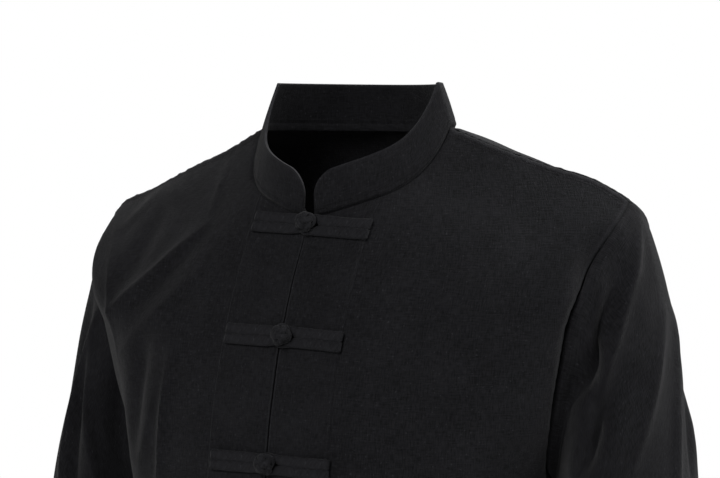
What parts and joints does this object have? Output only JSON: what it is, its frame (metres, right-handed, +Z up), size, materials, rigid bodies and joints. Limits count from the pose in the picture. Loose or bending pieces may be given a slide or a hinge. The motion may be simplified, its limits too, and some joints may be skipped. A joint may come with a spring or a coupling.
{
  "type": "tai chi uniform jacket",
  "caption": "Black cotton tai chi jacket in its worn shape, with a stand collar, set-in sleeves and knotted cord closures down an edge-to-edge front.",
  "frame": {"origin": "middle of the neck opening, level with the ends of the shoulder seams at the collar", "axes": "+Z up along the body, -Y out of the jacket's front, +X to the wearer's left"},
  "size_m": [0.6391, 0.2913, 0.7726],
  "materials": {
    "cotton": "matt plain weave with a fine slub, dyed black"
  },
  "bodies": {
    "root": {"back": "cotton", "front_left": "cotton", "front_right": "cotton", "sleeve_left": "cotton", "sleeve_right": "cotton", "collar": "cotton", "band_left": "cotton", "band_right": "cotton", "underlap": "cotton", "frog_1_loop": "cotton", "frog_1_tails": "cotton", "frog_1_knot": "cotton", "frog_2_loop": "cotton", "frog_2_tails": "cotton", "frog_2_knot": "cotton", "frog_3_loop": "cotton", "frog_3_tails": "cotton", "frog_3_knot": "cotton", "frog_4_loop": "cotton", "frog_4_tails": "cotton", "frog_4_knot": "cotton", "frog_5_loop": "cotton", "frog_5_tails": "cotton", "frog_5_knot": "cotton", "frog_6_loop": "cotton", "frog_6_tails": "cotton", "frog_6_knot": "cotton", "frog_7_loop": "cotton", "frog_7_tails": "cotton", "frog_7_knot": "cotton"}
  },
  "joints": []
}
